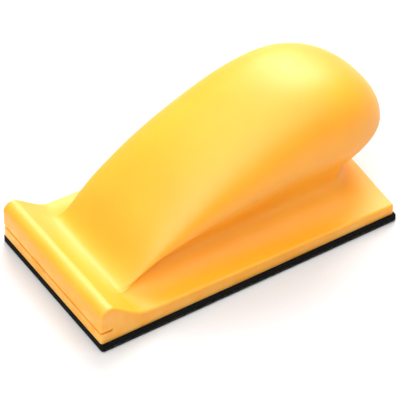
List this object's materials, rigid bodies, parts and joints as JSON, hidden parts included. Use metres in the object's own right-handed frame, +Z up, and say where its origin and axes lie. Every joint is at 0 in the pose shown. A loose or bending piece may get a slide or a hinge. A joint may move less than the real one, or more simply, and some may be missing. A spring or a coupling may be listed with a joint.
{
  "type": "sanding block",
  "caption": "Palm-grip hand sanding block: soft one-piece grip and base with a slit across the nose, on a resilient foam sole faced with hook fastener.",
  "frame": {"origin": "on the sole's working face, below the middle of the moulded base", "axes": "+Z up from the working face, +Y from the lipped nose to the rear, +X across the base, to the right when seen from the nose looking along +Y"},
  "size_m": [0.07, 0.1373, 0.0606],
  "materials": {
    "yellow_moulding": "satin moulded skin",
    "stiffener": "plain",
    "adhesive_film": "translucent film",
    "black_foam": "fine closed-cell foam",
    "hook_fastener": "woven backing with short hooks"
  },
  "bodies": {
    "root": {"handle_body": "yellow_moulding", "stiffener_plate": "stiffener", "sole_adhesive": "adhesive_film", "foam_sole": "black_foam", "hook_adhesive": "adhesive_film", "hook_sheet": "hook_fastener"}
  },
  "joints": []
}
